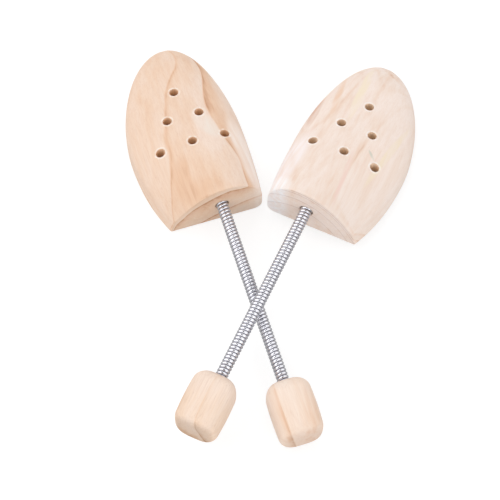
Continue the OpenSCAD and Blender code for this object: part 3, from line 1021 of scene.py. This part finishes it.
# %% [markdown]
# ## The knobs
# A knob was turned and sanded from a square blank: across the shaft it is a square with very round corners,
# and along it a slight barrel with two rounded ends. A cube with a bevel and a subdivision would come near,
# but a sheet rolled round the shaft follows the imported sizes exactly, and two flat faces close it.

# %% Find a point of the knob's surface
KNOB_LENGTH, KNOB_WIDTH, KNOB_BARREL, KNOB_FRONT_R, KNOB_BACK_R, KNOB_POWER = 40.5, 30.6, 1, 8.9, 6.5, 3.2
SPRING_LENGTH = (spring_ends("left")[1] - spring_ends("left")[0]).length / MM
KNOB_COLUMNS, KNOB_ROWS, KNOB_END_ROWS = 96, 56, 0.4


def rounded_off(distance, radius):
    return radius - math.sqrt(radius ** 2 - (radius - distance) ** 2) if distance < radius else 0


def knob_half(y):
    """Half the width of a knob, y from its front end."""
    half = KNOB_WIDTH / 2 - KNOB_BARREL * (2 * y / KNOB_LENGTH - 1) ** 2
    return half - rounded_off(y, KNOB_FRONT_R) - rounded_off(KNOB_LENGTH - y, KNOB_BACK_R)


def knob_station(along):
    """How far from the front of the knob a row lies. The rows are close together where an end turns in."""
    if along < KNOB_END_ROWS:
        return KNOB_FRONT_R * (1 - math.cos(math.pi / 2 * along / KNOB_END_ROWS))
    if along < 1 - KNOB_END_ROWS:
        middle = (along - KNOB_END_ROWS) / (1 - 2 * KNOB_END_ROWS)
        return mix(KNOB_FRONT_R, KNOB_LENGTH - KNOB_BACK_R, middle)
    return KNOB_LENGTH - KNOB_BACK_R * (1 - math.cos(math.pi / 2 * (1 - along) / KNOB_END_ROWS))


def knob_point(round_it, along):
    """round_it turns about the shaft, along runs from the front of the knob to its far end."""
    y, turn = knob_station(along), 2 * math.pi * round_it
    aside, up = math.cos(turn), math.sin(turn)
    x, z = (math.copysign(abs(v) ** (2 / KNOB_POWER), v) * knob_half(y) for v in (aside, up))
    return on_shaft(-SPRING_LENGTH - y, z) + Vector((x, 0, 0))


print("half the width of a knob in its middle:", round(knob_half(KNOB_LENGTH / 2), 1), "mm")


# %% Build and place both knobs
def build_knob(side):
    knob = wrapped_sheet(side + "_knob", KNOB_COLUMNS, KNOB_ROWS, knob_point)
    knob.data.materials.append(pines[side + "_knob"])
    open_mesh(knob, "DESELECT")
    bpy.ops.mesh.select_non_manifold(extend=False, use_wire=False, use_boundary=True, use_multi_face=False,
                                     use_non_contiguous=False, use_verts=False)
    bpy.ops.mesh.edge_face_add()
    close_mesh()
    face_outwards(knob)
    drill_shaft(knob, -SPRING_LENGTH, -1, knob_half(BRAD_AT), drilled_walls_painted_light[side])
    return settle(knob, side)


knobs = {side: build_knob(side) for side in places}
for side, knob in knobs.items():
    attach(knob, side + "_knob")
    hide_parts(side + "_heel_knob")

# %% [markdown]
# ## The springs
# Each spring is one bright steel wire, wound so close that the turns almost touch. A cylinder with a bump
# would look right from afar, but its outline would stay straight. A circle, the wire's section, and a Screw
# modifier wind it exactly. The spring bends in two places. Each is wound as two halves that meet in the
# middle.

# %% Make the finish of the steel
STEEL_ROUGHNESS, SMUDGE_ROUGHNESS = 0.10, 0.08

steel = Finish("bright_spring_steel")
smudge = steel.noise(steel.node("ShaderNodeTexCoord", output="Object"), scale=260.0)
polish = steel.mix(smudge, colour(208, 208, 215), colour(224, 224, 229))
steel.set(Base_Color=polish, Metallic=1.0, Roughness=STEEL_ROUGHNESS + smudge * SMUDGE_ROUGHNESS)

# %% Wind half a spring
WIRE_D, WIRE_RING_R, WIRE_SIDES = 2.3, 3.04, 14
TURN_STEPS, HALF_TURNS, IN_BORE = 28, 32, 11
WIRE_MERGE, STEEL_SMOOTH_ANGLE = 0.000001, 50


def wind_half(side, part):
    """Half a spring, from inside its wood to the middle of the spring."""
    start, end = spring_ends(side)
    axis = (end - start).normalized()
    half_length = (end - start).length / 2 + IN_BORE * MM
    origin = start - axis * IN_BORE * MM if part == "front" else (start + end) / 2
    bpy.ops.object.select_all(action="DESELECT")
    bpy.ops.mesh.primitive_circle_add(vertices=WIRE_SIDES, radius=WIRE_D / 2 * MM, fill_type="NGON",
                                      location=(WIRE_RING_R * MM, 0, 0), rotation=(math.pi / 2, 0, 0))
    wire = bpy.context.object
    wire.name = side + "_spring_" + part
    bpy.ops.object.transform_apply(location=True, rotation=True, scale=True)
    screw = wire.modifiers.new("wind", "SCREW")
    screw.angle, screw.iterations = 2 * math.pi, HALF_TURNS
    screw.steps = screw.render_steps = TURN_STEPS
    screw.screw_offset = half_length / HALF_TURNS
    bpy.ops.object.modifier_apply(modifier="wind")
    turn = axis.to_track_quat("Z", "Y").to_matrix().to_4x4()
    wire.data.transform(Matrix.Translation(origin) @ turn)
    wire.data.materials.append(steel.owner)
    merge_doubles(wire, WIRE_MERGE)
    face_outwards(wire)
    smooth(wire, STEEL_SMOOTH_ANGLE)
    return wire


print("a spring is", round(2 * WIRE_RING_R + WIRE_D, 2), "mm thick and has", 2 * HALF_TURNS, "turns")

# %% Wind and place both springs
BEND_REACH = 0.2

for side in places:
    start, end = spring_ends(side)
    front = wind_half(side, "front")
    rear = wind_half(side, "rear")
    side + "_block"
    side + "_spring"
    start.lerp(end, 0.25 - BEND_REACH)
    start.lerp(end, 0.25 + BEND_REACH)
    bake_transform(front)
    side + "_spring"
    side + "_knob"
    start.lerp(end, 0.75 - BEND_REACH)
    start.lerp(end, 0.75 + BEND_REACH)
    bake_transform(rear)
    for half in (front, rear):
        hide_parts(side + "_spring")

# %% [markdown]
# ## What holds the springs
# A dowel plug fills each end of a coil, and a small headed brad goes in from below to hold it. Hardly
# anything of them shows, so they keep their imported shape, and need only a finish: plain dowel wood, and
# steel wire that has gone dull.

# %% Finish the plugs and the brads
BRAD_ROUGHNESS, TARNISH_ROUGHNESS = 0.3, 0.25

dowel = drilled_wood("dowel_wood", colour(226, 190, 150), colour(198, 158, 118))
brad = Finish("brad_wire")
tarnish = brad.noise(brad.node("ShaderNodeTexCoord", output="Object"), scale=700.0, detail=3.0)
dull = brad.mix(tarnish, colour(168, 168, 172), colour(128, 126, 126))
brad.set(Base_Color=dull, Metallic=1.0, Roughness=BRAD_ROUGHNESS + tarnish * TARNISH_ROUGHNESS)
for name, node in frame["nodes"].items():
    if name.endswith(("_plug", "_brad")):
        node.data.materials.clear()
        node.data.materials.append(dowel if name.endswith("_plug") else brad.owner)
